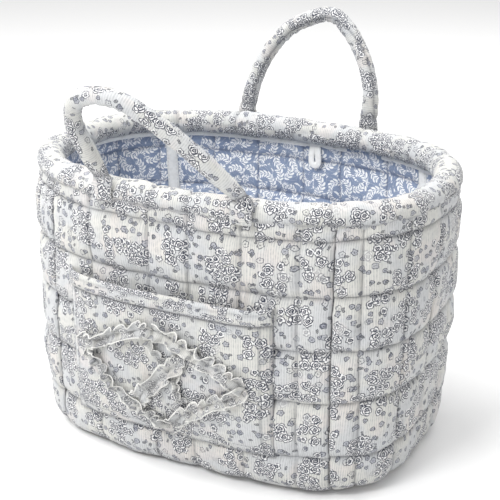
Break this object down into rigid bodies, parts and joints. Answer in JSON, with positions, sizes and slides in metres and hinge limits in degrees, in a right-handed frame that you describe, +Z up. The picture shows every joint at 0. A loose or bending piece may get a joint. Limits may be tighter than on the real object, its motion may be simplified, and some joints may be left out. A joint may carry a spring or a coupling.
{
  "type": "knitting bag",
  "caption": "Quilted cotton tote for knitting with an oval padded rim, two tube handles, a patch pocket with a ruffle bow and a blue lining.",
  "frame": {"origin": "centre of the base's underside, on the surface that the bag stands on", "axes": "+Z up, +X along the bag's length towards its right end, -Y towards the pocket side"},
  "size_m": [0.3458, 0.3097, 0.328],
  "materials": {
    "floral_cotton": "matt woven cotton printed with blue-grey roses",
    "blue_sprig_lining": "matt woven cotton printed with white leaf sprigs",
    "white_tape": "matt woven tape",
    "wadding": "soft fibre"
  },
  "bodies": {
    "bag": {"back_handle_left_sewn_end": "floral_cotton", "back_handle_right_sewn_end": "floral_cotton", "back_left_inner_binding": "white_tape", "back_lining": "blue_sprig_lining", "back_outer": "floral_cotton", "back_right_inner_binding": "white_tape", "back_wadding": "wadding", "base_inner_binding": "white_tape", "base_lining": "blue_sprig_lining", "base_outer": "floral_cotton", "base_wadding": "wadding", "bow_ruffle_cross": "floral_cotton", "bow_ruffle_lower_left": "floral_cotton", "bow_ruffle_lower_right": "floral_cotton", "bow_ruffle_upper_left": "floral_cotton", "bow_ruffle_upper_right": "floral_cotton", "bow_tie_lower": "floral_cotton", "bow_tie_upper": "floral_cotton", "front_handle_left_sewn_end": "floral_cotton", "front_handle_right_sewn_end": "floral_cotton", "front_left_inner_binding": "white_tape", "front_lining": "blue_sprig_lining", "front_outer": "floral_cotton", "front_right_inner_binding": "white_tape", "front_wadding": "wadding", "left_lining": "blue_sprig_lining", "left_outer": "floral_cotton", "left_wadding": "wadding", "pocket_hem": "floral_cotton", "pocket_panel": "floral_cotton", "right_lining": "blue_sprig_lining", "right_outer": "floral_cotton", "right_wadding": "wadding", "rim_roll_cord": "wadding", "rim_roll_cover": "floral_cotton", "rim_tape": "white_tape"},
    "front_handle": {"front_handle_cord": "wadding", "front_handle_cover": "floral_cotton"},
    "back_handle": {"back_handle_cord": "wadding", "back_handle_cover": "floral_cotton"},
    "ribbon_loop": {"ribbon_loop": "white_tape"}
  },
  "joints": [
    {"name": "front_handle_swing", "type": "hinge", "parent": "bag", "child": "front_handle", "pos_m": [0, -0.1183, 0.2378], "axis": [1, 0, 0], "range_deg": [-95, 85]},
    {"name": "back_handle_swing", "type": "hinge", "parent": "bag", "child": "back_handle", "pos_m": [0, 0.1183, 0.2378], "axis": [-1, 0, 0], "range_deg": [-85, 100]},
    {"name": "ribbon_loop_swing", "type": "hinge", "parent": "bag", "child": "ribbon_loop", "pos_m": [0.014, 0.1072, 0.2118], "axis": [-1, 0, 0], "range_deg": [0, 75]}
  ]
}
